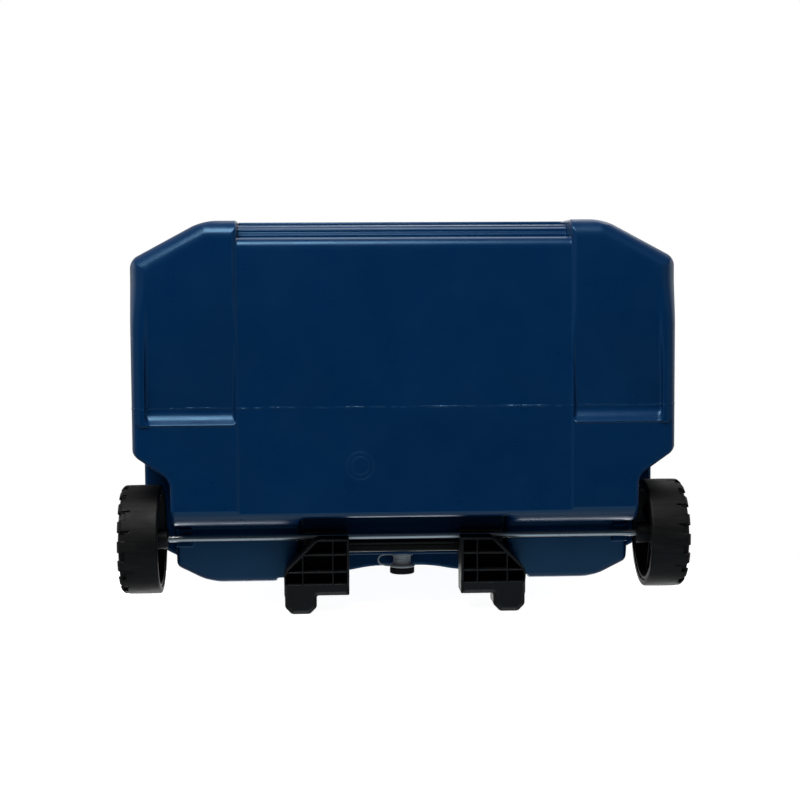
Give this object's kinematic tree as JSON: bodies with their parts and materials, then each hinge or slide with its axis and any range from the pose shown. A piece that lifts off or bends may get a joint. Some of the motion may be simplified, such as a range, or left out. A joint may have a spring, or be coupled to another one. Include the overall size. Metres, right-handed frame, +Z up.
{
  "type": "wheeled cooler",
  "caption": "Insulated chest cooler with hinged lid, two wheels on a through axle, telescoping pull handle, swinging side handles and a tethered drain.",
  "frame": {"origin": "centre of the whole cooler's box, at the ground", "axes": "+X to the right seen from the front, +Y to the back where the wheels and the pull handle are, +Z up"},
  "size_m": [0.667, 0.4634, 0.462],
  "materials": {
    "navy_shell": "satin",
    "white_lid": "satin",
    "white_liner": "satin",
    "insulation": "matte",
    "black_plastic": "satin",
    "grey_plastic": "satin",
    "strap": "matte",
    "seal_rubber": "matte",
    "tread": "matte",
    "steel": "satin",
    "black_tube": "satin",
    "handle_tube": "satin"
  },
  "bodies": {
    "body": {"body_shell": "navy_shell", "body_foam": "insulation", "body_liner": "white_liner", "left_hinge_base": "black_plastic", "right_hinge_base": "black_plastic", "left_hinge_pin": "steel", "right_hinge_pin": "steel", "hinge_base_screws": "steel", "left_handle_ears": "black_plastic", "right_handle_ears": "black_plastic", "ear_screws": "steel", "left_bracket": "black_plastic", "right_bracket": "black_plastic", "cross_bar": "black_tube", "bracket_screws": "steel", "tube_guide": "black_plastic", "guide_screws": "steel", "left_outer_tube": "black_tube", "right_outer_tube": "black_tube", "axle": "steel", "left_axle_cap": "steel", "right_axle_cap": "steel", "drain_spigot": "grey_plastic", "drain_gasket": "seal_rubber", "drain_nut": "grey_plastic", "drain_tether": "strap"},
    "lid": {"lid_shell": "white_lid", "lid_foam": "insulation", "lid_liner": "white_liner", "left_hinge_leaf": "black_plastic", "right_hinge_leaf": "black_plastic", "hinge_leaf_screws": "steel"},
    "left_wheel": {"left_wheel": "black_plastic", "left_tyre": "tread"},
    "right_wheel": {"right_wheel": "black_plastic", "right_tyre": "tread"},
    "left_side_handle": {"left_side_handle": "black_plastic"},
    "right_side_handle": {"right_side_handle": "black_plastic"},
    "lower_stage": {"left_middle_tube": "handle_tube", "right_middle_tube": "handle_tube", "middle_yoke": "black_plastic"},
    "upper_stage": {"left_inner_tube": "handle_tube", "right_inner_tube": "handle_tube", "handle_grip": "black_plastic", "lock_plugs": "black_plastic"},
    "grip_button": {"grip_button": "grey_plastic", "release_rods": "steel"},
    "drain_ring": {"drain_ring": "grey_plastic"},
    "drain_cap": {"drain_cap": "black_plastic", "drain_seal": "seal_rubber"}
  },
  "joints": [
    {"name": "lid_hinge", "type": "hinge", "parent": "body", "child": "lid", "pos_m": [0, 0.21325, 0.39], "axis": [1, 0, 0], "range_deg": [-95, 0]},
    {"name": "left_wheel_spin", "type": "hinge", "parent": "body", "child": "left_wheel", "pos_m": [-0.3, 0.14525, 0.0635], "axis": [1, 0, 0], "continuous": true},
    {"name": "right_wheel_spin", "type": "hinge", "parent": "body", "child": "right_wheel", "pos_m": [0.3, 0.14525, 0.0635], "axis": [1, 0, 0], "continuous": true},
    {"name": "left_side_handle_swing", "type": "hinge", "parent": "body", "child": "left_side_handle", "pos_m": [-0.3245, -0.01175, 0.318], "axis": [0, 1, 0], "range_deg": [0, 140]},
    {"name": "right_side_handle_swing", "type": "hinge", "parent": "body", "child": "right_side_handle", "pos_m": [0.3245, -0.01175, 0.318], "axis": [0, -1, 0], "range_deg": [0, 140]},
    {"name": "lower_stage_slide", "type": "slide", "parent": "body", "child": "lower_stage", "axis": [0, 0, 1], "range_m": [0, 0.25]},
    {"name": "upper_stage_slide", "type": "slide", "parent": "lower_stage", "child": "upper_stage", "axis": [0, 0, 1], "range_m": [0, 0.25]},
    {"name": "grip_button_press", "type": "slide", "parent": "upper_stage", "child": "grip_button", "axis": [0, 0, -1], "range_m": [0, 0.003], "stiffness_N_per_m": 400, "springref_m": -0.004},
    {"name": "drain_cap_slide", "type": "slide", "parent": "body", "child": "drain_ring", "axis": [0, 1, 0], "range_m": [0, 0.012]},
    {"name": "drain_cap_turn", "type": "hinge", "parent": "drain_ring", "child": "drain_cap", "pos_m": [0, 0.19325, 0.106], "axis": [0, 1, 0], "range_deg": [0, 1081]}
  ],
  "couplings": [
    {"joint": "drain_cap_turn", "follows": "drain_cap_slide", "rad_per_m": 1570.8}
  ]
}
